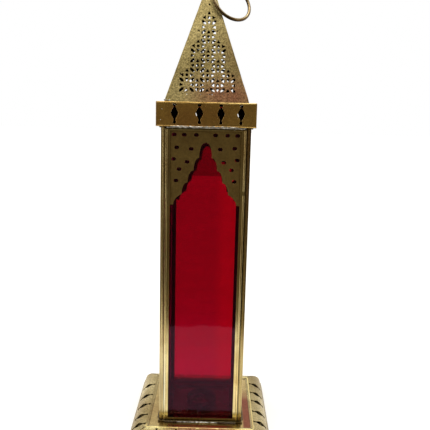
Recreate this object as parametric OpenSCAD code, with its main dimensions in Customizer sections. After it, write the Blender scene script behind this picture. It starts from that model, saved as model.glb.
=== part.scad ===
// Tall square brass lantern with ruby glass, a hinged front door, a pierced collar and spire, and a hanging ring.
// The origin is the middle of the foot on the table, the front is towards -Y, and sizes are in millimetres.

/* [Body] */
// Width of the square body over its corner posts
body_w = 75; // [66:1:90]
// Height of the body from the base deck to the collar
body_h = 268; // [200:1:320]
// Width of a folded corner post
post_w = 3.2; // [2.8:0.1:4]
// Thickness of the brass sheet
sheet_t = 0.8; // [0.6:0.05:1]
// Height of the sill frame that the body stands on
sill_h = 1.5; // [1.2:0.1:2.5]
// How far the sill frame stands out from the body
sill_proud = 1.2; // [1:0.1:1.6]

/* [Windows and door] */
// Visible width of a window frame's bar
bar_w = 4.2; // [3.6:0.1:6]
// Depth of the channel that holds the glass
frame_depth = 3.4; // [3.2:0.05:3.4]
// Thickness of the channel's front flange
flange_t = 0.7; // [0.5:0.05:0.8]
// Thickness of the channel's back lip
lip_t = 0.6; // [0.5:0.05:0.7]
// Height of the frame's top bar
top_bar_h = 1.3; // [1.2:0.1:3]
// Height of the frame's foot bar
foot_bar_h = 2.2; // [1.8:0.1:4]
// Thickness of a glass pane
glass_t = 1.4; // [1.2:0.05:1.4]
// Radius of the rolled edge along a frame's sides
roll_r = 1; // [0.9:0.05:1.1]
// How far the middle of the rolled edge lies behind the body's face
roll_inset = 0.4; // [0.3:0.05:0.6]
// Radius of the door's hinge wire
wire_r = 0.55; // [0.5:0.01:0.6]
// Gap under the door, above the deck
door_foot_gap = 1.9; // [1.8:0.1:3]
// Gap over the door, under the collar
door_head_gap = 2; // [1.8:0.1:3]
// Height of the finger notch in the door's free rolled edge
notch_h = 3.4; // [2:0.1:6]
// Depth of the notch below the collar
notch_drop = 55; // [40:1:120]

/* [Arch plate] */
// Thickness of an arch plate
arch_t = 0.5; // [0.4:0.05:0.5]
// Depth of the arch's point below the collar
arch_top_drop = 12.5; // [8:0.5:15]
// Depth of the plate's tips below the collar
arch_tip_drop = 66; // [50:1:80]
// How much lower the arch sits in the fixed windows than in the door
window_arch_low = 6; // [0:0.5:8]
// Radius of the round holes pierced in the plate
dot_r = 1.5; // [1.2:0.05:1.8]

/* [Collar] */
// How far the square collar stands out from the body
collar_out = 4.1; // [2.5:0.1:8]
// Height of the collar
collar_h = 20; // [18:0.5:26]
// Height of a baluster slot in the collar
collar_slot_h = 16.4; // [10:0.2:16.6]
// Width of a collar slot at its belly
collar_slot_w = 6.4; // [4:0.1:7]
// Width of the square vent holes through the collar's plates
vent_w = 60; // [46:1:62]

/* [Spire] */
// Width of the spire at its foot
spire_w = 71; // [66:0.5:74]
// Height that the spire would have if it ran to a point
spire_sharp_h = 108; // [104:1:125]
// Height at which the spire is cut off and capped
spire_cut_h = 89.5; // [84:0.5:92]
// Distance between neighbouring cells of the pierced pattern
cell = 8.65; // [7.4:0.05:8.8]
// Height of the pattern's lowest row above the foot, along the slope
cell_start = 15.4; // [12:0.1:15.6]
// Radius of the pattern's round holes
eyelet_r = 1.3; // [0.8:0.05:1.4]

/* [Hanging ring] */
// Radius of the hanging ring to the middle of its wire
ring_r = 17.5; // [16:0.1:20]
// Radius of the ring's wire
ring_wire_r = 1.4; // [1:0.1:1.5]
// Radius of the fixed eye to the middle of its wire
eye_r = 6.5; // [6.4:0.1:7.2]
// Radius of the eye's wire
eye_wire_r = 1; // [0.8:0.05:1.2]
// Turn of the eye on the cap, which opens towards the ring's wire
eye_turn = -37; // [-45:1:-33]
// Tilt of the ring's axis from upright as it leans
ring_tilt = 64; // [58:1:64]
// Turn of the ring's axis
ring_turn = -60; // [-66:1:-57]
// Place along the ring where it hangs in the eye
ring_hang = 225; // [220:1:229]

/* [Base] */
// Height of the deck that the body stands on
deck_h = 16.5; // [14:0.5:20]
// How far the raised crest around the deck stands out from the body
crest_out = 10.5; // [7.5:0.1:14]
// How far the skirt spreads beyond the crest
skirt_out = 16.8; // [14:0.2:22]
// Height of the crest above the deck
crest_rise = 0.9; // [0.8:0.1:1.4]
// Length of a baluster slot in the skirt, as a share of the skirt's spread
base_slot_share = 0.89; // [0.6:0.01:0.9]
// Width of a skirt slot at its belly
base_slot_w = 6.4; // [3:0.1:7]
// Width of the open seam between two skirt panels
hip_seam = 0.7; // [0.2:0.1:1]
// Height of the strip along the foot
rim_h = 3; // [2:0.1:4]
// Width of the flange that rests on the table
rim_flange_w = 7; // [4:0.5:10]

/* [Candle dish] */
// Radius of the candle dish
dish_r = 14.3; // [10:0.1:20]
// Height of the candle dish
dish_h = 6; // [4:0.5:10]

/* [Hidden] */

// Small clearances and overruns
joint_gap = 0.3;
pane_gap = 0.1;
wire_gap = 0.05;
hole_gap = 0.02;
cut_over = 1;

// Widths that follow the body
collar_w = body_w + 2 * collar_out;
crest_w = body_w + 2 * crest_out;
base_w = crest_w + 2 * skirt_out;
base_slot_l = base_slot_share * skirt_out;

// Levels up the lantern
body_foot = deck_h + sill_h;
body_top = deck_h + body_h;
collar_top = body_top + collar_h;
cap_t = sheet_t;
cap_top = collar_top + spire_cut_h + cap_t;

// Frames
frame_w = body_w - 2 * (post_w + joint_gap);
frame_edge = frame_w / 2;
open_w = frame_w - 2 * bar_w;
door_foot = deck_h + door_foot_gap;
door_head = body_top - door_head_gap;
wall_t = flange_t;
side_t = 2 * roll_r;
groove = frame_depth - flange_t - lip_t;
lip_w = bar_w - 2 * wall_t;
pane_w = frame_w - 2 * side_t - 2 * pane_gap;
hinge_x = -frame_edge + roll_r;
hinge_y = -body_w / 2 + roll_inset;
notch_back = hinge_y - roll_r / 4;

// Arch plate: each lobe ends at a share of the opening's half-width and of the drop from point to tip
lobe_width_shares = [0.182, 0.335, 0.5, 0.668, 0.907];
lobe_drop_shares = [0.245, 0.445, 0.637, 0.828, 1];
point_start = 15;
point_round = 0.7;
tip_round = 1.6;
lobe_step = 15;
lobe_end = 90;
arch_half = open_w / 2;
arch_drop = arch_tip_drop - arch_top_drop;
// Round holes: across as shares of the opening's half-width, down as shares of the tips' drop
dot_shares = [[0.27, 0.1], [0.61, 0.1], [0.89, 0.1], [0.41, 0.278], [0.82, 0.262],
              [0.52, 0.443], [0.9, 0.41], [0.745, 0.538], [0.83, 0.685]];
// The punch was struck twice for each hole, a little apart, which leaves it oval
dot_spread = 0.55;

// Slots: distance along the slot and half-width, as shares of its length and of its belly's half-width
baluster_shares = [[0, 0.22], [0.03, 0.4], [0.09, 0.44], [0.15, 0.28], [0.21, 0.24], [0.32, 0.5],
                   [0.43, 0.82], [0.53, 1], [0.63, 0.84], [0.72, 0.62], [0.8, 0.34], [0.86, 0.28],
                   [0.91, 0.48], [0.96, 0.56], [1, 0.4]];
// Uneven places of the hand-cut slots along a side, as shares of the collar's or the crest's width
collar_place_shares = [[-0.315, -0.068, 0.146, 0.346],
                       [-0.33, -0.11, 0.12, 0.34],
                       [-0.322, -0.072, 0.172, 0.321],
                       [-0.34, -0.12, 0.11, 0.33]];
skirt_place_shares = [[-0.4, -0.218, -0.018, 0.169, 0.361],
                      [-0.372, -0.19, 0.01, 0.176, 0.364],
                      [-0.38, -0.19, 0.01, 0.19, 0.375],
                      [-0.3, -0.08, 0.103, 0.295, 0.45]];

// Skirt profile: a quarter ellipse from the crest down to the foot
crest_r = crest_w / 2;
crest_top = deck_h + crest_rise;
lip_in = 1.9;
skirt_r = base_w / 2 - sheet_t;
skirt_low = rim_h - sheet_t / 2;
skirt_steps = 10;
slot_slope = 26;
slot_start = 0.5;

// Spire panels
spire_lean = atan(spire_w / 2 / spire_sharp_h);
slope_l = spire_sharp_h / cos(spire_lean);
cut_l = spire_cut_h / cos(spire_lean);
cut_half = spire_w / 2 * (1 - spire_cut_h / spire_sharp_h);
cell_rows = 8;
leaf_l_share = 0.64;
leaf_w_share = 0.27;
tri_l_share = 0.36;
tri_w_share = 0.4;
// Stray punch marks beside the pattern, as [columns from the middle, rows up, share of an eyelet's radius]
stray_marks = [[0, 8.4, 0.6], [0.3, 7.6, 0.4], [-0.97, 5.6, 0.55], [0.87, 5.6, 0.45], [-1.93, 2.7, 0.4],
               [-2.62, 1.1, 0.5], [-2.35, -0.92, 0.3], [-1.95, -0.95, 0.3], [-0.6, -0.95, 0.35],
               [0.25, -0.93, 0.4], [0.5, -0.95, 0.3], [1.65, -0.95, 0.3], [2.05, -0.92, 0.35]];

// Hanging eye, set in from the cap's right and front edges and let into it at the foot, and the ring in it
eye_in_right = 2.7;
eye_in_front = 4.2;
eye_sink = 0.7;
eye_x = cut_half - eye_in_right;
eye_y = eye_in_front - cut_half;
eye_z = cap_top + eye_r + eye_wire_r - eye_sink;
hang_gap = 0.9;
hang_rise = 22;
hang_reach = eye_r - eye_wire_r - ring_wire_r - hang_gap;
hang_out = hang_reach * cos(hang_rise);
hang_at = [eye_x + hang_out * cos(eye_turn), eye_y + hang_out * sin(eye_turn),
           eye_z + hang_reach * sin(hang_rise)];

// Solder beads
bead = 1.1;
fine = 32;
round_fine = 64;

// Places a child that was drawn for the front on side 0 front, 1 right, 2 back or 3 left
module side(n) {
  rotate([0, 0, 90 * n]) children();
}

// A square ring about the axis, from z = low, high units tall, between two widths
module square_ring(outer, inner, low, high) {
  translate([0, 0, low]) linear_extrude(high) difference() {
    square(outer, center = true);
    square(inner, center = true);
  }
}

// Outline of a baluster slot of length l and belly width w, from the origin along +Y
module baluster(l, w) {
  right = [for (s = baluster_shares) [s[1] * w / 2, s[0] * l]];
  left = [for (i = [len(right) - 1:-1:0]) [-right[i][0], right[i][1]]];
  polygon(concat(right, left));
}

// Wedge of plan between the two hips beside the front, moved back by gap
module front_wedge(reach, gap, low, high) {
  translate([0, 0, low]) linear_extrude(high)
    polygon([[0, -gap], [reach, -reach - gap], [-reach, -reach - gap]]);
}

// Base

module base_rim() {
  color("darkgoldenrod") {
    square_ring(base_w, base_w - 2 * sheet_t, 0, rim_h);
    square_ring(base_w - 2 * sheet_t, base_w - 2 * rim_flange_w, 0, sheet_t);
  }
}

// Height of the skirt's face at a distance from the axis, for a sheet moved in by t
function skirt_arc(t) = [for (i = [0:skirt_steps])
  let(a = 90 * i / skirt_steps)
  [crest_r + (skirt_r - t - crest_r) * sin(a), skirt_low + (crest_top - t - skirt_low) * cos(a)]];

module skirt_profile() {
  outer = concat([[crest_r - lip_in, deck_h], [crest_r - lip_in, deck_h + crest_rise / 2]], skirt_arc(0),
                 [[skirt_r, sheet_t]]);
  inner = concat([[crest_r - lip_in + sheet_t, deck_h], [crest_r - lip_in + sheet_t, deck_h + crest_rise / 3]],
                 skirt_arc(sheet_t), [[skirt_r - sheet_t, sheet_t]]);
  back = [for (i = [len(inner) - 1:-1:0]) inner[i]];
  polygon(concat(outer, back));
}

module skirt_panel(places) {
  color("tan") difference() {
    intersection() {
      rotate([0, 0, -90]) rotate([90, 0, 0]) linear_extrude(base_w, center = true) skirt_profile();
      front_wedge(base_w, hip_seam / sqrt(2), 0, deck_h + 2 * crest_rise);
    }
    for (p = places)
      translate([p * crest_w, -crest_r - slot_start, crest_top]) rotate([slot_slope, 0, 0])
        rotate([0, 0, 180]) translate([0, 0, -deck_h]) linear_extrude(2 * deck_h)
          baluster(base_slot_l, base_slot_w);
  }
}

module base_skirt_front() { side(0) skirt_panel(skirt_place_shares[0]); }
module base_skirt_right() { side(1) skirt_panel(skirt_place_shares[1]); }
module base_skirt_back() { side(2) skirt_panel(skirt_place_shares[2]); }
module base_skirt_left() { side(3) skirt_panel(skirt_place_shares[3]); }

module base_deck() {
  deck_w = crest_w - 2 * lip_in + 2 * sheet_t;
  color("goldenrod") translate([0, 0, deck_h - sheet_t]) linear_extrude(sheet_t) square(deck_w, center = true);
}

module sill_frame() {
  sill_w = body_w + 2 * sill_proud;
  color("darkgoldenrod") difference() {
    square_ring(sill_w, frame_w - 2 * frame_depth - 2 * post_w, deck_h, sill_h);
    translate([hinge_x, hinge_y, deck_h]) cylinder(r = wire_r + hole_gap, h = sill_h + cut_over, $fn = fine);
  }
}

// Bead of solder along the sill on each side
module sill_solder() {
  foot = body_w / 2 + sill_proud;
  color("silver") for (n = [0:3])
    side(n) translate([0, -foot, deck_h]) rotate([0, 0, -90]) rotate([90, 0, 0])
      linear_extrude(body_w - 2 * bar_w, center = true) polygon([[0, 0], [bead, 0], [bead / 3, bead / 2], [0, bead]]);
}

module candle_dish() {
  color("darkgoldenrod") translate([0, 0, deck_h]) rotate_extrude($fn = round_fine)
    polygon([[0, 0], [dish_r - sheet_t, 0], [dish_r, sheet_t], [dish_r, dish_h], [dish_r - sheet_t, dish_h],
             [dish_r - sheet_t, sheet_t], [0, sheet_t]]);
}

// Body

// A square tube folded from sheet, with a shallow bead along each outer face
module post() {
  mid = body_w / 2 - post_w / 2;
  bead_r = post_w / 4;
  color("goldenrod") translate([mid, -mid, body_foot]) linear_extrude(body_h - sill_h) difference() {
    union() {
      square(post_w, center = true);
      translate([0, -post_w / 2 + bead_r / 2]) circle(bead_r, $fn = fine);
      translate([post_w / 2 - bead_r / 2, 0]) circle(bead_r, $fn = fine);
    }
    square(post_w - 2 * sheet_t, center = true);
  }
}

module post_front_right() { side(0) post(); }
module post_back_right() { side(1) post(); }
module post_back_left() { side(2) post(); }
module post_front_left() { side(3) post(); }

// One side's channel frame from low to high, drawn for the front, with its rolled side edges
module channel_frame(low, high) {
  face = -body_w / 2;
  tall = high - low;
  color("goldenrod") {
    difference() {
      translate([-frame_edge, face, low]) cube([frame_w, frame_depth, tall]);
      translate([-open_w / 2, face - cut_over, low + foot_bar_h])
        cube([open_w, frame_depth + 2 * cut_over, tall - foot_bar_h - top_bar_h]);
      translate([-frame_edge + side_t, face + flange_t, low + wall_t])
        cube([frame_w - 2 * side_t, groove, tall - 2 * wall_t]);
      translate([-frame_edge + wall_t + lip_w, face + flange_t, low + foot_bar_h - wall_t])
        cube([frame_w - 2 * (wall_t + lip_w), frame_depth, tall - foot_bar_h - top_bar_h]);
      for (x = [-1, 1])
        translate([x * (frame_edge - roll_r), face + roll_inset, low - cut_over])
          cylinder(r = roll_r, h = tall + 2 * cut_over, $fn = fine);
    }
    children();
  }
}

// A rolled edge at x, with a bore of radius bore where it turns on a wire
module rolled_edge(x, low, high, bore) {
  translate([x, hinge_y, low]) linear_extrude(high - low) difference() {
    circle(roll_r, $fn = fine);
    if (bore > 0) circle(bore, $fn = fine);
  }
}

module window_frame(n) {
  side(n) channel_frame(body_foot, body_top)
    for (x = [-1, 1]) rolled_edge(x * (frame_edge - roll_r), body_foot, body_top, 0);
}

module window_frame_right() { window_frame(1); }
module window_frame_back() { window_frame(2); }
module window_frame_left() { window_frame(3); }

module door_frame() {
  channel_frame(door_foot, door_head) {
    rolled_edge(hinge_x, door_foot, door_head, wire_r + wire_gap);
    difference() {
      rolled_edge(-hinge_x, door_foot, door_head, 0);
      translate([-hinge_x - 2 * roll_r, notch_back - 2 * roll_r, body_top - notch_drop - notch_h / 2])
        cube([4 * roll_r, 2 * roll_r, notch_h]);
    }
  }
}

// Glass pane that stands in a frame's channel, behind the arch plate
module pane(low, high) {
  color("crimson", 0.6) translate([-pane_w / 2, -body_w / 2 + flange_t + arch_t + pane_gap, low + wall_t])
    cube([pane_w, glass_t, high - low - 2 * wall_t]);
}

module glass_right() { side(1) pane(body_foot, body_top); }
module glass_back() { side(2) pane(body_foot, body_top); }
module glass_left() { side(3) pane(body_foot, body_top); }
module door_glass() { pane(door_foot, door_head); }

// Points down one side of the arch, from its point to its tip, as [half-width, drop below the collar];
// a lobe runs from [w0, d0], starts at the angle from, and is fuller for a smaller power
function lobe(i, w0, d0, from, power) = [for (a = [from:lobe_step:lobe_end])
  let(w1 = lobe_width_shares[i] * arch_half, d1 = arch_top_drop + lobe_drop_shares[i] * arch_drop,
      reach = pow((sin(a) - sin(from)) / (1 - sin(from)), power), fall = (cos(from) - cos(a)) / cos(from))
  [w0 + (w1 - w0) * reach, d0 + (d1 - d0) * fall]];
function lobe_points(i) = i == 0 ? lobe(0, 0, arch_top_drop, point_start, point_round)
  : lobe(i, lobe_width_shares[i - 1] * arch_half, arch_top_drop + lobe_drop_shares[i - 1] * arch_drop, 0,
         i == len(lobe_width_shares) - 1 ? tip_round : 1);
function arch_side() = [for (i = [0:len(lobe_width_shares) - 1], p = lobe_points(i)) p];

// Arch plate that reaches up to high, with its arch and holes moved down by lower
module arch_plate(high, lower) {
  right = [for (p = arch_side()) [p[0], -p[1]]];
  left = [for (i = [len(right) - 1:-1:1]) [-right[i][0], right[i][1]]];
  top = high - wall_t - body_top + lower;
  outline = concat([[-pane_w / 2, top]], [[-pane_w / 2, -arch_tip_drop]], left, right,
                   [[pane_w / 2, -arch_tip_drop]], [[pane_w / 2, top]]);
  color("olive") translate([0, -body_w / 2 + flange_t + arch_t, body_top - lower]) rotate([90, 0, 0])
    linear_extrude(arch_t) difference() {
      polygon(outline);
      for (s = [-1, 1], d = dot_shares)
        for (twice = [-1, 1])
          translate([s * d[0] * arch_half + twice * dot_spread, -d[1] * arch_tip_drop]) circle(dot_r, $fn = fine);
    }
}

module arch_plate_right() { side(1) arch_plate(body_top, window_arch_low); }
module arch_plate_back() { side(2) arch_plate(body_top, window_arch_low); }
module arch_plate_left() { side(3) arch_plate(body_top, window_arch_low); }
module door_arch_plate() { arch_plate(door_head, 0); }

// Strip on the right window frame that the door closes against
module door_stop() {
  stop_w = 2.6;
  near = body_w / 2 - frame_depth;
  color("darkgoldenrod") translate([near - stop_w, -body_w / 2 + frame_depth + joint_gap, body_foot])
    cube([stop_w, sheet_t, body_h - sill_h]);
}

module door_lintel() {
  lintel_h = door_head_gap - joint_gap;
  set_back = roll_inset + roll_r + joint_gap;
  color("goldenrod") translate([-frame_edge, -body_w / 2 + set_back, body_top - lintel_h])
    cube([frame_w, frame_depth - set_back, lintel_h]);
}

module hinge_wire() {
  color("goldenrod") translate([hinge_x, hinge_y, deck_h])
    cylinder(r = wire_r, h = body_h + sheet_t, $fn = fine);
}

// Collar

module eave_plate() {
  color("goldenrod") difference() {
    square_ring(collar_w - 2 * sheet_t, vent_w, body_top, sheet_t);
    translate([hinge_x, hinge_y, body_top - cut_over])
      cylinder(r = wire_r + hole_gap, h = sheet_t + 2 * cut_over, $fn = fine);
  }
}

// Bead of solder under the eave on each side, clear of the swinging door
module eave_solder() {
  face = body_w / 2 + roll_r + joint_gap;
  bead_l = body_w - 2 * bar_w;
  color("silver") for (n = [0:3])
    side(n) translate([-bead_l / 2, -face - bead, body_top - bead]) cube([bead_l, bead, bead]);
}

module collar_band() {
  low = body_top;
  tall = collar_h - sheet_t;
  color("darkgoldenrod") difference() {
    square_ring(collar_w, collar_w - 2 * sheet_t, low, tall);
    for (n = [0:3], p = collar_place_shares[n])
      side(n) translate([p * collar_w, -collar_w / 2 - cut_over, low + (collar_h - collar_slot_h) / 1.6])
        rotate([90, 0, 180]) linear_extrude(sheet_t + 2 * cut_over) baluster(collar_slot_h, collar_slot_w);
  }
}

module collar_top_plate() {
  color("gold") square_ring(collar_w, vent_w, collar_top - sheet_t, sheet_t);
}

// Spire

// A cell holds a star where its column and row add up to an even number, and an eyelet elsewhere
function row_reach(k) = k < 2 ? 2 : k < 5 ? 1 : 0;
function is_star(c) = (abs(c[0]) + c[1]) % 2 == 0;
function in_set(c) = c[1] >= 0 && c[1] < cell_rows && abs(c[0]) <= row_reach(c[1]);
cells = [for (k = [0:cell_rows - 1], i = [-row_reach(k):row_reach(k)]) [i, k]];
stars = [for (c = cells) if (is_star(c)) c];
eyelets = [for (c = cells) if (!is_star(c)) c];
corners = [[1, 1], [1, -1], [-1, -1], [-1, 1]];
sides = [[1, 0], [0, 1], [-1, 0], [0, -1]];
function cell_at(c) = [c[0] * cell, cell_start + c[1] * cell];

// A leaf's slot, long towards +X
module leaf() {
  l = leaf_l_share * cell / 2;
  w = leaf_w_share * cell / 2;
  polygon([[-l, 0], [-l / 2, -w], [l / 2, -w], [l, 0], [l / 2, w], [-l / 2, w]]);
}

// A triangle whose point is towards +X
module dart() {
  l = tri_l_share * cell / 2;
  w = tri_w_share * cell / 2;
  polygon([[l, 0], [-l, w], [-l, -w]]);
}

module pierced_pattern() {
  for (c = eyelets) translate(cell_at(c)) circle(eyelet_r, $fn = 16);
  for (m = stray_marks) translate(cell_at(m)) circle(m[2] * eyelet_r, $fn = 12);
  // leaves lie on the corners between stars, each one once
  for (c = stars, d = corners)
    if (d[1] > 0 || !in_set(c + d))
      translate(cell_at(c + d / 2)) rotate(atan2(d[1], d[0])) leaf();
  // darts point at the stars
  for (c = stars, d = sides)
    if (cell_at(c + d)[1] > 0) translate(cell_at(c + d / 2)) rotate(atan2(-d[1], -d[0])) dart();
  // and outwards where an eyelet is on the edge
  for (c = eyelets, d = sides)
    if (!in_set(c + d)) translate(cell_at(c + d / 2)) rotate(atan2(d[1], d[0])) dart();
}

module spire_panel() {
  foot = spire_w / 2;
  color("tan") intersection() {
    translate([0, -foot, collar_top]) rotate([90 - spire_lean, 0, 0]) translate([0, 0, -sheet_t])
      linear_extrude(sheet_t) difference() {
        polygon([[-foot, -foot], [foot, -foot], [foot, 0], [cut_half, cut_l], [cut_half, slope_l],
                 [-cut_half, slope_l], [-cut_half, cut_l], [-foot, 0]]);
        pierced_pattern();
      }
    front_wedge(spire_w, 0, collar_top, spire_cut_h);
  }
}

module spire_front() { side(0) spire_panel(); }
module spire_right() { side(1) spire_panel(); }
module spire_back() { side(2) spire_panel(); }
module spire_left() { side(3) spire_panel(); }

module spire_cap() {
  color("goldenrod") translate([0, 0, collar_top + spire_cut_h]) linear_extrude(cap_t)
    square(2 * cut_half, center = true);
}

// A loop of wire, bent nearly closed, whose feet stand on the cap
module hanging_eye() {
  color("goldenrod") intersection() {
    translate([eye_x, eye_y, eye_z]) rotate([90, 0, eye_turn]) rotate_extrude($fn = round_fine)
      translate([eye_r, 0]) circle(eye_wire_r, $fn = fine);
    translate([eye_x - 2 * eye_r, eye_y - 2 * eye_r, cap_top]) cube([4 * eye_r, 4 * eye_r, 4 * eye_r]);
  }
}

module hanging_ring() {
  color("goldenrod") translate(hang_at) rotate([0, ring_tilt, ring_turn]) rotate([0, 0, ring_hang])
    translate([-ring_r, 0, 0]) rotate_extrude($fn = round_fine)
      translate([ring_r, 0]) circle(ring_wire_r, $fn = fine);
}

base_rim();
base_skirt_front();
base_skirt_right();
base_skirt_back();
base_skirt_left();
base_deck();
sill_frame();
sill_solder();
candle_dish();
post_front_left();
post_front_right();
post_back_right();
post_back_left();
window_frame_right();
window_frame_back();
window_frame_left();
glass_right();
glass_back();
glass_left();
arch_plate_right();
arch_plate_back();
arch_plate_left();
door_frame();
door_glass();
door_arch_plate();
door_stop();
door_lintel();
hinge_wire();
eave_plate();
eave_solder();
collar_band();
collar_top_plate();
spire_front();
spire_right();
spire_back();
spire_left();
spire_cap();
hanging_eye();
hanging_ring();
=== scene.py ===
import math

import bmesh
import bpy
from mathutils import Matrix, Vector, noise


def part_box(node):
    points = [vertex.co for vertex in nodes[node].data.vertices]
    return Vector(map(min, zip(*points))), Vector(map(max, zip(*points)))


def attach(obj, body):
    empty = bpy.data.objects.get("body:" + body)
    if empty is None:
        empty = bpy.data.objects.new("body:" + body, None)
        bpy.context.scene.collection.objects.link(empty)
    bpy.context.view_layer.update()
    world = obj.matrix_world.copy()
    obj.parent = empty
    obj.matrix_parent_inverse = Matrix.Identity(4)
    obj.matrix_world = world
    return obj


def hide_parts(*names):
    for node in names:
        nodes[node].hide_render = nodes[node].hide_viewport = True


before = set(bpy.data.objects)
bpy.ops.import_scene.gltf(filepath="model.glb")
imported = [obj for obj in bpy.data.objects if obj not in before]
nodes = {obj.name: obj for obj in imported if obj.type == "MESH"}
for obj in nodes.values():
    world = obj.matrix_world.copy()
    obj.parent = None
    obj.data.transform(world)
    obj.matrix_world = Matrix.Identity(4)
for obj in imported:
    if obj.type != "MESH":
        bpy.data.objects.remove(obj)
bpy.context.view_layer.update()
mm = 0.001
print("lantern: frame loaded,", len(nodes), "parts")


# shader helpers

def linear(rgb):
    # sRGB 0-255 to the linear colour that a socket takes
    out = []
    for value in rgb:
        c = value / 255
        out.append(c / 12.92 if c <= 0.04045 else ((c + 0.055) / 1.055) ** 2.4)
    return (*out, 1.0)


def feed(tree, socket, value):
    # links another node's socket, or sets a plain value
    if isinstance(value, bpy.types.NodeSocket):
        tree.links.new(value, socket)
    else:
        socket.default_value = value


def add(tree, kind, inputs=None, **settings):
    node = tree.nodes.new(kind)
    for key, value in settings.items():
        setattr(node, key, value)
    for key, value in (inputs or {}).items():
        feed(tree, node.inputs[key], value)
    return node


def startMaterial(name):
    material = bpy.data.materials.new(name)
    material.use_nodes = True
    tree = material.node_tree
    tree.nodes.clear()
    output = add(tree, "ShaderNodeOutputMaterial")
    place = add(tree, "ShaderNodeTexCoord").outputs["Object"]
    return material, tree, output, place


def mixColour(tree, factor, a, b, blend="MIX"):
    node = add(tree, "ShaderNodeMix", data_type="RGBA", blend_type=blend)
    for number, value in ((0, factor), (6, a), (7, b)):
        feed(tree, node.inputs[number], value)
    return node.outputs[2]


def span(tree, value, low, high, toLow, toHigh):
    # remaps value from low..high to toLow..toHigh, clamped
    return add(tree, "ShaderNodeMapRange", {"Value": value, "From Min": low, "From Max": high,
                                            "To Min": toLow, "To Max": toHigh}).outputs[0]


def grain(tree, place, scale, detail, rough, shift=(0, 0, 0), stretch=(1, 1, 1)):
    # noise with scale features per metre
    moved = add(tree, "ShaderNodeMapping", {"Vector": place, "Location": shift, "Scale": stretch})
    return add(tree, "ShaderNodeTexNoise", {"Vector": moved.outputs[0], "Scale": scale, "Detail": detail,
                                            "Roughness": rough}).outputs[0]


def calc(tree, operation, *values):
    return add(tree, "ShaderNodeMath", dict(enumerate(values)), operation=operation).outputs[0]


def separate(tree, vector):
    return add(tree, "ShaderNodeSeparateXYZ", {0: vector}).outputs


def normalOf(tree):
    # the x, y and z of the surface's own direction
    return separate(tree, add(tree, "ShaderNodeTexCoord").outputs["Normal"])


def overlay(tree, colour, amount, rgb):
    # lays another colour, 0-255, over colour
    return mixColour(tree, amount, colour, linear(rgb))


def zone(tree, place, low, high, soft):
    # 1 inside the box from low to high in millimetres, fading over soft along x, y and z
    inside = 1.0
    for value, a, b, s in zip(separate(tree, place), low, high, soft):
        rise = span(tree, value, (a - s) * mm, (a + s) * mm, 0, 1)
        fall = span(tree, value, (b - s) * mm, (b + s) * mm, 1, 0)
        inside = calc(tree, "MULTIPLY", calc(tree, "MULTIPLY", rise, fall), inside)
    return inside


def plug(tree, output, shader):
    tree.links.new(shader.outputs[0], output.inputs[0])


# brass finishes, one dictionary for each kind of piece: patches, speckle and hammer are features per
# metre, and a small stretch draws the fine grain out along the height

brassLooks = {
    "spireBrass": dict(base=(208, 188, 128), dark=(150, 132, 82), tint=(184, 146, 104), tintAmount=0.25,
                       patches=22, speckle=900, stretch=1, speckleAmount=0.6, rough=(0.34, 0.5),
                       hammer=420, dents=0.35, grainHeight=0.3, grimeAndShade=0.7),
    "collarBrass": dict(base=(232, 192, 112), dark=(184, 146, 80), tint=(196, 124, 80), tintAmount=0.45,
                        patches=34, speckle=500, stretch=1, speckleAmount=0.16, rough=(0.2, 0.34),
                        hammer=90, dents=0.15, grainHeight=0.04, grimeAndShade=0.8),
    "frameBrass": dict(base=(246, 227, 164), dark=(202, 172, 110), tint=(184, 130, 86), tintAmount=0.35,
                       patches=24, speckle=620, stretch=0.04, speckleAmount=0.24, rough=(0.12, 0.26),
                       hammer=50, dents=0.05, grainHeight=0.03, grimeAndShade=0.96),
    # the arch plates get a shaded copy of the brass: their darkness is painted shade
    "archShadedBrass": dict(base=(186, 160, 102), dark=(136, 110, 66), tint=(156, 116, 76), tintAmount=0.3,
                      patches=30, speckle=620, stretch=1, speckleAmount=0.2, rough=(0.26, 0.4),
                      hammer=120, dents=0.15, grainHeight=0.06, grimeAndShade=0.85),
    "skirtBrass": dict(base=(228, 208, 150), dark=(168, 146, 92), tint=(196, 152, 108), tintAmount=0.2,
                       patches=26, speckle=950, stretch=1, speckleAmount=0.55, rough=(0.32, 0.48),
                       hammer=420, dents=0.3, grainHeight=0.3, grimeAndShade=0.6),
    "deckBrass": dict(base=(220, 196, 132), dark=(172, 144, 88), tint=(172, 124, 78), tintAmount=0.25,
                      patches=26, speckle=500, stretch=1, speckleAmount=0.2, rough=(0.2, 0.34),
                      hammer=60, dents=0.06, grainHeight=0.03, grimeAndShade=0.2),
    "wireBrass": dict(base=(208, 190, 146), dark=(148, 124, 84), tint=(150, 116, 76), tintAmount=0.2,
                      patches=70, speckle=800, stretch=1, speckleAmount=0.3, rough=(0.16, 0.3),
                      hammer=260, dents=0.12, grainHeight=0.06, grimeAndShade=0.6,
                      # the wire's underside is darkened as painted shade
                      under=(0.0, 0.6), underShadeColour=(80, 56, 30), underShadeAmount=0.92),
    # the crest ridge gets a lit copy of the brass: its brightness is a painted highlight
    "ridgeLitBrass": dict(base=(255, 240, 168), dark=(240, 214, 136), tint=(220, 176, 104), tintAmount=0.15,
                       patches=40, speckle=800, stretch=1, speckleAmount=0.1, rough=(0.3, 0.42),
                       hammer=300, dents=0.12, grainHeight=0.08, grimeAndShade=0.05),
    "rimGold": dict(base=(250, 218, 138), dark=(206, 164, 90), tint=(214, 150, 84), tintAmount=0.2,
                    patches=40, speckle=600, stretch=1, speckleAmount=0.2, rough=(0.14, 0.26),
                    hammer=110, dents=0.12, grainHeight=0.05, grimeAndShade=0.4),
}
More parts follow.
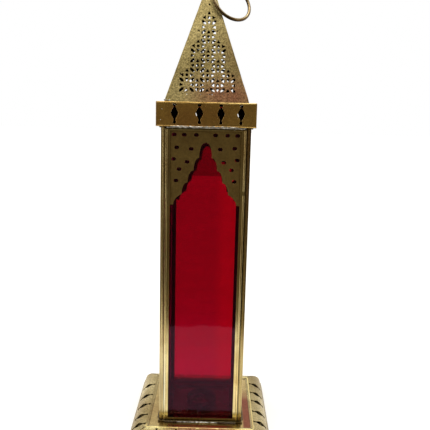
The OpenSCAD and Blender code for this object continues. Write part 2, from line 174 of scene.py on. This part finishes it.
# stains, and painted light and shade, in places: each is a box from low to high in millimetres, with its
# colour and its strength
brassStainsAndLight = {
    "spireBrass": [
        # a coppery patch at the foot of the front panel, then painted shade along its right edge
        dict(low=(-8, -40, 300), high=(40, -5, 320), soft=(16, 5, 13), colour=(158, 76, 70),
             amount=0.78),
        dict(low=(15, -40, 332), high=(40, -5, 366), soft=(7, 5, 13), colour=(108, 84, 46), amount=0.5),
    ],
    "collarBrass": [
        dict(low=(-26, -45, 284), high=(20, -38, 306), soft=(10, 2, 10), colour=(176, 112, 66),
             amount=0.4),
    ],
    "frameBrass": [
        # the right front post, lighter at its foot and darker higher up, as painted light and shade
        dict(low=(34.7, -40, 10), high=(42, -34, 95), soft=(0.2, 1, 14), colour=(190, 168, 112),
             amount=0.9),
        dict(low=(34.7, -40, 95), high=(42, -34, 340), soft=(0.2, 1, 14), colour=(140, 116, 64),
             amount=0.95),
        # painted shade on the whole upper body, and on the top of the right front post once more
        dict(low=(-45, -45, 122), high=(45, 45, 340), soft=(1, 1, 42), colour=(118, 92, 48),
             amount=0.45),
        dict(low=(34.7, -40, 205), high=(42, -34, 340), soft=(0.2, 1, 25), colour=(74, 42, 18),
             amount=0.6),
        # the door's left roll, painted shade above and a painted highlight at its foot
        dict(low=(-33.1, -40, 95), high=(-29.5, -34.2, 340), soft=(0.3, 1, 20), colour=(88, 68, 34),
             amount=0.3),
        dict(low=(-34.1, -40, 17), high=(-32, -36, 80), soft=(0.2, 1, 20), colour=(255, 247, 208),
             amount=0.8),
        # the left front post, lighter at its foot as painted light, and painted shade higher up on it and
        # on the roll beside it
        dict(low=(-42, -40, 10), high=(-34.8, -34, 110), soft=(0.2, 1, 20), colour=(188, 170, 126),
             amount=0.8),
        dict(low=(-42, -40, 110), high=(-32, -34, 200), soft=(0.2, 1, 22), colour=(146, 126, 82),
             amount=0.4),
        # the bar across the door's foot
        dict(low=(-29.8, -38, 20), high=(29.8, -30, 25), soft=(0.2, 0.15, 0.25), colour=(140, 148, 146),
             amount=0.8),
        # painted shade in the grooves between the door and the posts
        dict(low=(-34.5, -40, 10), high=(-33.7, -34.5, 340), soft=(0.2, 1, 5), colour=(56, 40, 20),
             amount=0.4),
        dict(low=(33.9, -40, 10), high=(34.9, -34.5, 340), soft=(0.25, 1, 5), colour=(56, 40, 20),
             amount=0.65),
        # painted shade at the feet of the posts, and painted shade inside the body above the deck
        dict(low=(-45, -45, 10), high=(45, 45, 20.4), soft=(1, 1, 0.8), colour=(84, 62, 36),
             amount=0.65),
        dict(low=(-34.1, -34.1, 10), high=(34.1, 34.1, 30), soft=(0.5, 0.5, 0.5), colour=(20, 13, 9),
             amount=0.95),
    ],
    "ridgeLitBrass": [
        # darker along the left side
        dict(low=(-60, -44, 10), high=(-40, 60, 30), soft=(1, 1, 1), colour=(150, 128, 80), amount=0.9),
    ],
    "skirtBrass": [
        # painted shade on the right panel, then a painted highlight on the fold at the top of the front
        # one
        dict(low=(48, -70, 0), high=(70, 70, 20), soft=(2, 2, 2), colour=(168, 146, 96), amount=0.45),
        dict(low=(-49, -52, 14.5), high=(49, -46, 20), soft=(1, 1.2, 1), colour=(255, 240, 176),
             amount=0.85),
    ],
    "deckBrass": [
        # painted shade on the deck inside the body, and painted red light from through the glass on a
        # strip right of it
        dict(low=(-34, -34, 10), high=(34, 34, 40), soft=(1, 1, 1), colour=(22, 14, 10), amount=0.93),
        dict(low=(39.5, -60, 10), high=(50, 14, 40), soft=(1.2, 12, 2), colour=(128, 42, 34),
             amount=0.88),
    ],
}
# what all kinds of brass share: the noise of the patches, the blush and the fine grain, each with the
# range of the noise that it uses, and the depth of dents and grain in millimetres
brassGrain = dict(patches=dict(detail=5, rough=0.62), patchRange=(0.36, 0.66), roughRange=(0.3, 0.7),
                  blush=dict(detail=3, rough=0.5, shift=(0.31, 0.17, 0.05)), blushScale=0.6,
                  blushRange=(0.48, 0.7), fine=dict(detail=2, rough=0.6, shift=(0.02, 0.4, 0.1)),
                  fineRange=(0.34, 0.66), brighter=0.3, dentSmooth=0.6, dentDepth=0.25, fineDepth=0.12)
# darkening where pieces meet, tarnish together with painted shade in creases: reach in millimetres, full
# at the first openness and none at the second
tarnishAndShade = dict(reach=2.2, samples=4, openness=(0.35, 0.95), colour=(40, 26, 12))
# painted shade on faces that look inwards or down, dark and matte: full at the first cosine of each pair
# and none at the second
innerShade = dict(colour=(16, 11, 8), amount=0.98, rough=0.6, inward=(-0.75, -0.45), down=(-0.75, -0.4))
innerShadeExempt = ("rimGold", "ridgeLitBrass")


def innerShadeFaces(tree, place):
    # where the painted shade goes: 1 on faces that look in at the lantern's axis or straight down, 0 on
    # the outer ones
    x, y = separate(tree, place)[:2]
    normal = normalOf(tree)
    sideways = calc(tree, "GREATER_THAN", calc(tree, "ABSOLUTE", x), calc(tree, "ABSOLUTE", y))
    outX = calc(tree, "MULTIPLY", normal[0], calc(tree, "SIGN", x))
    outY = calc(tree, "MULTIPLY", normal[1], calc(tree, "SIGN", y))
    out = calc(tree, "ADD", calc(tree, "MULTIPLY", outX, sideways),
               calc(tree, "MULTIPLY", outY, calc(tree, "SUBTRACT", 1.0, sideways)))
    return calc(tree, "MAXIMUM", span(tree, out, *innerShade["inward"], 1, 0),
                span(tree, normal[2], *innerShade["down"], 1, 0))


def brass(name):
    look, shared = brassLooks[name], brassGrain
    material, tree, output, place = startMaterial(name)
    patches = grain(tree, place, look["patches"], **shared["patches"])
    colour = mixColour(tree, span(tree, patches, *shared["patchRange"], 0, 1),
                       linear(look["dark"]), linear(look["base"]))
    blush = grain(tree, place, look["patches"] * shared["blushScale"], **shared["blush"])
    colour = overlay(tree, colour, span(tree, blush, *shared["blushRange"], 0, look["tintAmount"]),
                     look["tint"])
    for stain in brassStainsAndLight.get(name, []):
        there = zone(tree, place, stain["low"], stain["high"], stain["soft"])
        colour = overlay(tree, colour, calc(tree, "MULTIPLY", there, stain["amount"]), stain["colour"])
    fine = grain(tree, place, look["speckle"], stretch=(1, 1, look["stretch"]), **shared["fine"])
    shade = span(tree, fine, *shared["fineRange"], 1 - look["speckleAmount"],
                 1 + shared["brighter"] * look["speckleAmount"])
    tone = add(tree, "ShaderNodeCombineColor", {0: shade, 1: shade, 2: shade}).outputs[0]
    colour = mixColour(tree, 1.0, colour, tone, "MULTIPLY")
    # tarnish and painted shade: darker where other parts lie close by
    openness = add(tree, "ShaderNodeAmbientOcclusion", {"Distance": tarnishAndShade["reach"] * mm},
                   samples=tarnishAndShade["samples"]).outputs["AO"]
    colour = overlay(tree, colour, span(tree, openness, *tarnishAndShade["openness"], look["grimeAndShade"], 0),
                     tarnishAndShade["colour"])
    # painted shade on the wire's underside
    if "under" in look:
        underShading = span(tree, normalOf(tree)[2], *look["under"], look["underShadeAmount"], 0)
        colour = overlay(tree, colour, underShading, look["underShadeColour"])
    roughness = span(tree, patches, *shared["roughRange"], look["rough"][1], look["rough"][0])
    # painted shade, dark and matte, on inward and downward faces
    if name not in innerShadeExempt:
        innerShadeMask = calc(tree, "MULTIPLY", innerShadeFaces(tree, place), innerShade["amount"])
        colour = overlay(tree, colour, innerShadeMask, innerShade["colour"])
        roughness = calc(tree, "MAXIMUM", roughness, calc(tree, "MULTIPLY", innerShadeMask, innerShade["rough"]))
    dents = add(tree, "ShaderNodeTexVoronoi", {"Vector": place, "Scale": look["hammer"],
                                               "Smoothness": shared["dentSmooth"]},
                feature="SMOOTH_F1").outputs["Distance"]
    pressed = add(tree, "ShaderNodeBump", {"Strength": look["dents"], "Distance": shared["dentDepth"] * mm,
                                           "Height": dents})
    scratched = add(tree, "ShaderNodeBump", {"Strength": look["grainHeight"],
                                             "Distance": shared["fineDepth"] * mm,
                                             "Height": fine, "Normal": pressed.outputs[0]})
    plug(tree, output, add(tree, "ShaderNodeBsdfPrincipled", {
        "Base Color": colour, "Metallic": 1.0, "Roughness": roughness, "Normal": scratched.outputs[0]}))
    return material


# the glass: its colour deepens upwards between the two heights of turns, in millimetres, as painted shade;
# drawing the sheet has left faint level streaks and a ripple

glassLook = dict(upper=(173, 3, 69), lower=(196, 36, 102), deep=(108, 0, 38), turns=(40, 120), rough=0.03,
                 ior=1.45, shine=(180, 134, 160), streakRange=(0.45, 0.75), streakAmount=0.14,
                 streak=dict(scale=26, detail=3, rough=0.6, stretch=(0.6, 0.6, 5)),
                 ripple=dict(scale=60, detail=2, rough=0.5, stretch=(1, 1, 2.5)), rippleStrength=0.08,
                 rippleDepth=0.3, slant=(0.72, 0.97), slantShade=0.85, slantColour=(40, 0, 16))
# the back pane is lighter in a strip on the right, as painted light, and darker above shadeFrom, as
# painted shade
backPane = dict(stripLight=(214, 5, 64), stripLightAmount=0.5, stripLightLow=(14, 30, 20), stripLightHigh=(40, 40, 290),
                stripLightSoft=(5, 5, 5), shadeFrom=237, shadeSoft=0.6, shadeAmount=0.85)


def rubyGlass(name, behind):
    look = glassLook
    material, tree, output, place = startMaterial(name)
    height = separate(tree, place)[2]
    # painted shade: the glass darker towards the top
    up = span(tree, height, look["turns"][0] * mm, look["turns"][1] * mm, 0, 1)
    colour = mixColour(tree, up, linear(look["lower"]), linear(look["upper"]))
    streak = grain(tree, place, **look["streak"])
    colour = overlay(tree, colour, span(tree, streak, *look["streakRange"], 0, look["streakAmount"]),
                     look["deep"])
    if behind:
        pane = backPane
        # painted light: a lighter strip on the right
        strip = zone(tree, place, pane["stripLightLow"], pane["stripLightHigh"], pane["stripLightSoft"])
        colour = overlay(tree, colour, calc(tree, "MULTIPLY", strip, pane["stripLightAmount"]), pane["stripLight"])
        # painted shade above shadeFrom
        shade = span(tree, height, (pane["shadeFrom"] - pane["shadeSoft"]) * mm,
                     (pane["shadeFrom"] + pane["shadeSoft"]) * mm, 0, pane["shadeAmount"])
        colour = overlay(tree, colour, shade, look["deep"])
    # a slanting ray crosses more of the tinted glass
    slant = add(tree, "ShaderNodeLayerWeight", {"Blend": 0.5}).outputs["Facing"]
    colour = overlay(tree, colour, span(tree, slant, *look["slant"], 0, look["slantShade"]),
                     look["slantColour"])
    ripple = grain(tree, place, **look["ripple"])
    bump = add(tree, "ShaderNodeBump", {"Strength": look["rippleStrength"],
                                        "Distance": look["rippleDepth"] * mm, "Height": ripple})
    plug(tree, output, add(tree, "ShaderNodeBsdfPrincipled", {
        "Base Color": colour, "Roughness": look["rough"], "IOR": look["ior"], "Transmission Weight": 1.0,
        "Specular Tint": linear(look["shine"]), "Normal": bump.outputs[0]}))
    return material


# solder: grey lumps with rusty stains; along the sill, under the two heights of turns in millimetres, all
# but the middle of the front is darkened in rust colour as painted shade

solderLook = dict(bright=(232, 231, 226), dull=(92, 87, 76), rust=(66, 50, 33), rough=(0.26, 0.5),
                  lumps=dict(scale=380, detail=4, rough=0.6), lumpRange=(0.38, 0.62),
                  roughRange=(0.3, 0.7), stain=dict(scale=150, detail=3, rough=0.6, shift=(0.2, 0.1, 0.3)),
                  stainRange=(0.52, 0.68), stainAmount=0.7, turns=(20, 24), sillShadeAmount=0.93,
                  unshadedLow=(-19, -45, 10), unshadedHigh=(14, -35, 24), unshadedSoft=(3, 1, 1),
                  strength=0.5, depth=0.3)


def solderMetal(name):
    look = solderLook
    material, tree, output, place = startMaterial(name)
    lumps = grain(tree, place, **look["lumps"])
    colour = mixColour(tree, span(tree, lumps, *look["lumpRange"], 0, 1),
                       linear(look["dull"]), linear(look["bright"]))
    stain = grain(tree, place, **look["stain"])
    colour = overlay(tree, colour, span(tree, stain, *look["stainRange"], 0, look["stainAmount"]),
                     look["rust"])
    # painted shade on the sill's solder, all but the middle of the front
    low = span(tree, separate(tree, place)[2], look["turns"][0] * mm, look["turns"][1] * mm, 1, 0)
    unshadedMiddle = zone(tree, place, look["unshadedLow"], look["unshadedHigh"], look["unshadedSoft"])
    shadedSill = calc(tree, "MULTIPLY", low, calc(tree, "SUBTRACT", 1.0, unshadedMiddle))
    colour = overlay(tree, colour, calc(tree, "MULTIPLY", shadedSill, look["sillShadeAmount"]), look["rust"])
    bump = add(tree, "ShaderNodeBump", {"Strength": look["strength"], "Distance": look["depth"] * mm,
                                        "Height": lumps})
    roughness = span(tree, lumps, *look["roughRange"], look["rough"][1], look["rough"][0])
    plug(tree, output, add(tree, "ShaderNodeBsdfPrincipled", {
        "Base Color": colour, "Metallic": 1.0, "Roughness": roughness, "Normal": bump.outputs[0]}))
    return material


finishes = {name: brass(name) for name in brassLooks}
finishes["rubyGlass"] = rubyGlass("rubyGlass", False)
finishes["rubyGlassBack"] = rubyGlass("rubyGlassBack", True)
finishes["solderMetal"] = solderMetal("solderMetal")
print("lantern: finishes made")


# the parts keep their solids: each gets its finish, and its edges are eased by edge millimetres

easing = {
    "spireBrass": dict(edge=0.14, parts=["spire_front", "spire_right", "spire_back", "spire_left",
                                         "spire_cap"]),
    "collarBrass": dict(edge=0.18, parts=["collar_band", "eave_plate"]),
    "rimGold": dict(edge=0.2, parts=["collar_top_plate"]),
    "frameBrass": dict(edge=0.16, parts=["post_front_left", "post_front_right", "post_back_right",
                                         "post_back_left", "window_frame_right", "window_frame_back",
                                         "window_frame_left", "door_frame", "door_stop", "door_lintel",
                                         "sill_frame"]),
    "archShadedBrass": dict(edge=0.08, parts=["arch_plate_right", "arch_plate_back", "arch_plate_left",
                                        "door_arch_plate"]),
    "skirtBrass": dict(edge=0.16, parts=["base_skirt_front", "base_skirt_right", "base_skirt_back",
                                         "base_skirt_left", "base_rim"]),
    "deckBrass": dict(edge=0.15, parts=["base_deck", "candle_dish"]),
    "wireBrass": dict(edge=0, parts=["hinge_wire", "hanging_eye", "hanging_ring"]),
    "rubyGlass": dict(edge=0.1, parts=["glass_right", "glass_left", "door_glass"]),
    "rubyGlassBack": dict(edge=0.1, parts=["glass_back"]),
    "solderMetal": dict(edge=0, parts=["sill_solder", "eave_solder"]),
}
easeLook = dict(segments=2, crease=32, joinWithin=0.0005)  # crease in degrees, joinWithin in millimetres


def dress(part, material, edge):
    piece = nodes[part]
    piece.data.materials.clear()
    piece.data.materials.append(material)
    for name in ("custom_normal", "sharp_edge", "sharp_face"):
        if name in piece.data.attributes:
            piece.data.attributes.remove(piece.data.attributes[name])
    piece.data.polygons.foreach_set("use_smooth", [True] * len(piece.data.polygons))
    piece.modifiers.new("join", "WELD").merge_threshold = easeLook["joinWithin"] * mm
    if edge:
        eased = piece.modifiers.new("ease", "BEVEL")
        eased.width = edge * mm
        eased.segments = easeLook["segments"]
        eased.limit_method = "ANGLE"
        eased.angle_limit = math.radians(easeLook["crease"])
        eased.harden_normals = True
        eased.use_clamp_overlap = True


for finish, plan in easing.items():
    for part in plan["parts"]:
        dress(part, finishes[finish], plan["edge"])
print("lantern: parts dressed")


# swept shapes: rings along closed or open runs of points, with hand-made unevenness; an open run tapers
# over its last rings, and each seed and each run reads another part of the noise

sweepLook = dict(sides=10, taperRings=2.5, tip=0.12, seedShift=7.3, runShift=3.1, steep=0.9)


def ringFrame(points, i, closed):
    # the two directions across the run at points[i], and how far it has tapered there
    count = len(points)
    ahead = points[(i + 1) % count] if closed or i < count - 1 else points[i]
    behind = points[i - 1] if closed or i > 0 else points[i]
    along = (ahead - behind).normalized()
    up = Vector((0, 0, 1)) if abs(along.z) < sweepLook["steep"] else Vector((1, 0, 0))
    across = along.cross(up).normalized()
    up = across.cross(along).normalized()
    if closed:
        return across, up, 1.0
    reach = min(i, count - 1 - i) / sweepLook["taperRings"]
    return across, up, math.sqrt(min(1.0, sweepLook["tip"] + reach))


def sweep(name, runs, radius, wobble, seed, grainSize, closed=False, flat=1.0):
    mesh = bpy.data.meshes.new(name)
    build = bmesh.new()
    sides = sweepLook["sides"]
    for number, run in enumerate(runs):
        points = [Vector(p) * mm for p in run]
        shift = seed * sweepLook["seedShift"] + number * sweepLook["runShift"]
        rings = []
        for i, point in enumerate(points):
            across, up, ends = ringFrame(points, i, closed)
            ring = []
            for k in range(sides):
                a = 2 * math.pi * k / sides
                spot = point / mm / grainSize + Vector((shift, math.cos(a), math.sin(a)))
                r = radius * mm * ends * (1 + wobble * noise.noise(spot))
                place = point + across * math.cos(a) * r + up * math.sin(a) * r * flat
                ring.append(build.verts.new(place))
            rings.append(ring)
        for i in range(len(points) if closed else len(points) - 1):
            a, b = rings[i], rings[(i + 1) % len(points)]
            for k in range(sides):
                build.faces.new((a[k], a[(k + 1) % sides], b[(k + 1) % sides], b[k]))
        if not closed:
            build.faces.new(reversed(rings[0]))
            build.faces.new(rings[-1])
    bmesh.ops.recalc_face_normals(build, faces=build.faces)
    build.to_mesh(mesh)
    build.free()
    mesh.polygons.foreach_set("use_smooth", [True] * len(mesh.polygons))
    piece = bpy.data.objects.new(name, mesh)
    bpy.context.scene.collection.objects.link(piece)
    return piece


def finishPiece(piece, finish, body="lantern"):
    piece.data.materials.append(finishes[finish])
    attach(piece, body)


def quarter(n):
    # turns the front side to side n: 0 front, 1 right, 2 back, 3 left
    return Matrix.Rotation(math.pi / 2 * n, 3, "Z")


def squareRun(half, z, corner, step, cornerPoints=4):
    # points round a square with rounded corners
    points = []
    straight = half - corner
    for n in range(4):
        turn = quarter(n)
        count = max(2, int(2 * straight / step))
        for i in range(count):
            points.append(turn @ Vector((-straight + 2 * straight * i / count, -half, z)))
        for k in range(cornerPoints):
            a = math.radians(90 / cornerPoints * k)
            points.append(turn @ Vector((straight + corner * math.sin(a),
                                         -straight - corner * math.cos(a), z)))
    return points


def sideRuns(x0, x1, out, z, step, sides=(0, 1, 2, 3)):
    # a straight run on each of the sides
    runs = []
    for n in sides:
        count = int((x1 - x0) / step)
        runs.append([quarter(n) @ Vector((x0 + (x1 - x0) * i / count, -out, z)) for i in range(count + 1)])
    return runs


def level(part, high):
    # the height of a part's top or foot in millimetres
    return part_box(part)[1 if high else 0].z / mm


# edges rolled or folded out of the sheet, in millimetres; roll is the bead's own shape

collar = dict(half=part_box("collar_band")[1].x / mm, foot=level("collar_band", False),
              top=level("collar_top_plate", True))
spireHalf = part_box("spire_front")[1].x / mm

rimLook = dict(inset=0.62, drop=0.55, corner=0.9, step=1.6,
               roll=dict(radius=0.75, wobble=0.12, seed=3, grainSize=6))
rimRun = squareRun(collar["half"] - rimLook["inset"], collar["top"] - rimLook["drop"], rimLook["corner"],
                   rimLook["step"])
finishPiece(sweep("collarRim", [rimRun], closed=True, **rimLook["roll"]), "rimGold")

hemLook = dict(inset=0.35, lift=0.45, corner=0.6, step=1.2,
               roll=dict(radius=0.5, wobble=0.22, seed=5, grainSize=4))
hemRun = squareRun(collar["half"] - hemLook["inset"], collar["foot"] + hemLook["lift"], hemLook["corner"],
                   hemLook["step"])
finishPiece(sweep("collarHem", [hemRun], closed=True, **hemLook["roll"]), "collarBrass")

crestLook = dict(out=1.5, drop=0.9, corner=1.4, step=1.8,
                 roll=dict(radius=1.05, wobble=0.08, seed=6, grainSize=7))
crestRun = squareRun(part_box("base_deck")[1].x / mm + crestLook["out"],
                     level("base_skirt_front", True) - crestLook["drop"], crestLook["corner"],
                     crestLook["step"])
finishPiece(sweep("crestRidge", [crestRun], closed=True, **crestLook["roll"]), "ridgeLitBrass")

hipLook = dict(inset=0.42, lift=0.46, step=1.5, roll=dict(radius=0.46, wobble=0.25, seed=9, grainSize=5))


def hipRuns():
    # the four edges of the spire, from its foot on the collar up to the cap
    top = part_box("spire_cap")[1].x / mm
    foot = Vector((spireHalf, -spireHalf, level("spire_front", False)))
    head = Vector((top, -top, level("spire_front", True)))
    foot += Vector((-hipLook["inset"], hipLook["inset"], hipLook["lift"]))
    head += Vector((-hipLook["inset"], hipLook["inset"], 0))
    count = int((head - foot).length / hipLook["step"])
    return [[quarter(n) @ foot.lerp(head, i / count) for i in range(count + 1)] for n in range(4)]


finishPiece(sweep("spireHips", hipRuns(), **hipLook["roll"]), "spireBrass")
print("lantern: folded edges made")

# solder runs: the beads under the collar and along the sill, and the smear, specks and blobs beside them

eaveLook = dict(half=33, out=39.35, drop=0.55, step=0.7,
                roll=dict(radius=0.62, wobble=0.6, seed=11, grainSize=1.4, flat=0.85))
eaveRuns = sideRuns(-eaveLook["half"], eaveLook["half"], eaveLook["out"],
                    level("eave_solder", True) - eaveLook["drop"], eaveLook["step"])
eaveBead = sweep("eaveSolderBead", eaveRuns, **eaveLook["roll"])
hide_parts("eave_solder")
finishPiece(eaveBead, "solderMetal")

sillLook = dict(half=33, inset=0.7, lift=0.52, step=0.7,
                roll=dict(radius=0.62, wobble=0.8, seed=12, grainSize=1.3, flat=0.85))
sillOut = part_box("sill_solder")[1].x / mm
sillRuns = sideRuns(-sillLook["half"], sillLook["half"], sillOut - sillLook["inset"],
                    level("sill_solder", False) + sillLook["lift"], sillLook["step"])
sillBead = sweep("sillSolderBead", sillRuns, **sillLook["roll"])
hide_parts("sill_solder")
finishPiece(sillBead, "solderMetal")

smearLook = dict(x0=-30, x1=27, inset=0.3, lift=0.15, step=0.7,
                 roll=dict(radius=0.75, wobble=0.9, seed=17, grainSize=1.8, flat=0.7))
smearRuns = sideRuns(smearLook["x0"], smearLook["x1"], collar["half"] - smearLook["inset"],
                     collar["foot"] + smearLook["lift"], smearLook["step"], sides=(0,))
finishPiece(sweep("collarSmear", smearRuns, **smearLook["roll"]), "solderMetal")

# specks on the collar and blobs at the spire's foot: each drop is its x, its height and its length
dropLook = dict(steps=4, slope=0.4)
speckLook = dict(drops=[(-36.3, 298.4, 1.5), (-37.6, 289.7, 1.1)], out=-0.1,
                 roll=dict(radius=0.3, wobble=0.6, seed=19, grainSize=0.9))
blobLook = dict(drops=[(-34.4, 305.9, 2.6), (-31.2, 305.7, 1.6)], out=0.1,
                roll=dict(radius=0.75, wobble=0.5, seed=23, grainSize=1.1))


def dropRuns(drops, out):
    # short runs on the front, each sloping a little
    steps, slope = dropLook["steps"], dropLook["slope"]
    return [[Vector((x + length * (i / steps - 0.5), -out, z + length * (0.5 - i / steps) * slope))
             for i in range(steps + 1)] for x, z, length in drops]


specks = sweep("solderSpecks", dropRuns(speckLook["drops"], collar["half"] + speckLook["out"]),
               **speckLook["roll"])
finishPiece(specks, "solderMetal")
blobs = sweep("solderBlobs", dropRuns(blobLook["drops"], spireHalf + blobLook["out"]), **blobLook["roll"])
finishPiece(blobs, "solderMetal")
print("lantern: solder run")

# the room: dim behind the camera, with a white sweep at the back and the sides. It rises and turns over
# these ranges of a direction's height and depth, each from -1 to 1.

roomLook = dict(front=(108, 100, 80), frontHigh=(186, 182, 170), back=(252, 252, 250), rises=(0.25, 0.7),
                turns=(-0.6, -0.05))

world = bpy.data.worlds.new("studio")
bpy.context.scene.world = world
world.use_nodes = True
tree = world.node_tree
tree.nodes.clear()
heading = separate(tree, add(tree, "ShaderNodeTexCoord").outputs["Generated"])
ahead = mixColour(tree, span(tree, heading[2], *roomLook["rises"], 0, 1), linear(roomLook["front"]),
                  linear(roomLook["frontHigh"]))
room = overlay(tree, ahead, span(tree, heading[1], *roomLook["turns"], 0, 1), roomLook["back"])
path = add(tree, "ShaderNodeLightPath").outputs
plain = calc(tree, "MAXIMUM", path["Is Camera Ray"], path["Is Transmission Ray"])
light = mixColour(tree, plain, room, (1, 1, 1, 1))
sky = add(tree, "ShaderNodeBackground", {"Color": light, "Strength": 1.0})
plug(tree, add(tree, "ShaderNodeOutputWorld"), sky)

# the floor ends in front of the lantern, where its mirror image ends in the glass and the brass, and its
# near edge bows a little. Under the hollow foot, out to underFoot, it is painted dark as the foot's
# shadow, and it glows beyond underBase, both in millimetres. The glow grows from its first value to its
# second over glowReach. The other lengths are in metres.

floorLook = dict(colour=(238, 237, 234), dark=(24, 20, 16), underFoot=64, underBase=66, nearEdge=-0.3,
                 reach=30.0, bow=0.006, bowWidth=0.12, bowHalf=20, bowPerMetre=50, glow=(0.3, 0.6),
                 glowReach=(0.4, 3.0))


def bowedEdge():
    points = []
    for i in range(-floorLook["bowHalf"], floorLook["bowHalf"] + 1):
        x = i / floorLook["bowPerMetre"]
        bow = floorLook["bow"] * math.cos(x / floorLook["bowWidth"] * math.pi)
        points.append((x, floorLook["nearEdge"] - bow, 0))
    return points


floorMesh = bpy.data.meshes.new("floor")
far, near = floorLook["reach"], floorLook["nearEdge"]
outline = [(-far, near, 0), *bowedEdge(), (far, near, 0), (far, far, 0), (-far, far, 0)]
floorMesh.from_pydata(outline, [], [tuple(range(len(outline)))])
floor = bpy.data.objects.new("floor", floorMesh)
bpy.context.scene.collection.objects.link(floor)
floorMaterial, tree, output, place = startMaterial("paleFloor")
x, y = separate(tree, place)[:2]
away = calc(tree, "MAXIMUM", calc(tree, "ABSOLUTE", x), calc(tree, "ABSOLUTE", y))
# painted shadow: the floor is dark under the hollow foot
paintedShadow = calc(tree, "LESS_THAN", away, floorLook["underFoot"] * mm)
paper = add(tree, "ShaderNodeBsdfDiffuse", {
    "Color": mixColour(tree, paintedShadow, linear(floorLook["colour"]), linear(floorLook["dark"]))})
path = add(tree, "ShaderNodeLightPath").outputs
seen = calc(tree, "MAXIMUM", calc(tree, "MAXIMUM", path["Is Camera Ray"], path["Is Transmission Ray"]),
            path["Is Glossy Ray"])
clear = calc(tree, "GREATER_THAN", away, floorLook["underBase"] * mm)
distance = add(tree, "ShaderNodeVectorMath", {0: place}, operation="LENGTH").outputs["Value"]
strength = calc(tree, "MULTIPLY", calc(tree, "MULTIPLY", seen, clear),
                span(tree, distance, *floorLook["glowReach"], *floorLook["glow"]))
glowing = add(tree, "ShaderNodeEmission", {"Color": (1, 1, 1, 1), "Strength": strength})
plug(tree, output, add(tree, "ShaderNodeAddShader", {0: paper.outputs[0], 1: glowing.outputs[0]}))
floorMesh.materials.append(floorMaterial)

# the lamps: places and sizes in metres, powers in watts

lamps = dict(
    overheadSoftbox=dict(place=(0.0, -0.25, 1.5), target=(0, 0, 0.15), size=(1.2, 0.9), power=9.0),
    leftStrip=dict(place=(-1.0, -0.7, 0.55), target=(0, 0, 0.2), size=(0.25, 1.1), power=2.2),
    rightStrip=dict(place=(1.05, -0.55, 0.5), target=(0, 0, 0.2), size=(0.3, 1.1), power=1.2),
)


def softbox(name, place, target, size, power):
    lamp = bpy.data.lights.new(name, "AREA")
    lamp.shape = "RECTANGLE"
    lamp.size, lamp.size_y = size
    lamp.energy = power
    piece = bpy.data.objects.new(name, lamp)
    bpy.context.scene.collection.objects.link(piece)
    piece.location = place
    piece.rotation_euler = (Vector(target) - Vector(place)).to_track_quat("-Z", "Y").to_euler()


for name, lamp in lamps.items():
    softbox(name, **lamp)

# the camera: place in millimetres, angles in degrees, focus and picture width in pixels, sensor width in
# millimetres, nearest in metres

shot = dict(place=(9.94, -469.1, 284.67), down=9.76, turn=0.10, roll=1.42, focus=510.4, picture=430,
            sensor=36, nearest=0.01)
camera = bpy.data.objects.new("camera", bpy.data.cameras.new("camera"))
bpy.context.scene.collection.objects.link(camera)
camera.data.sensor_width = shot["sensor"]
camera.data.lens = shot["sensor"] * shot["focus"] / shot["picture"]
camera.data.clip_start = shot["nearest"]
camera.matrix_world = (Matrix.Translation(Vector(shot["place"]) * mm)
                       @ Matrix.Rotation(math.radians(shot["turn"]), 4, "Z")
                       @ Matrix.Rotation(math.radians(90 - shot["down"]), 4, "X")
                       @ Matrix.Rotation(math.radians(shot["roll"]), 4, "Z"))
bpy.context.scene.camera = camera
bpy.context.scene.view_settings.view_transform = "Standard"
print("lantern: studio and camera set")
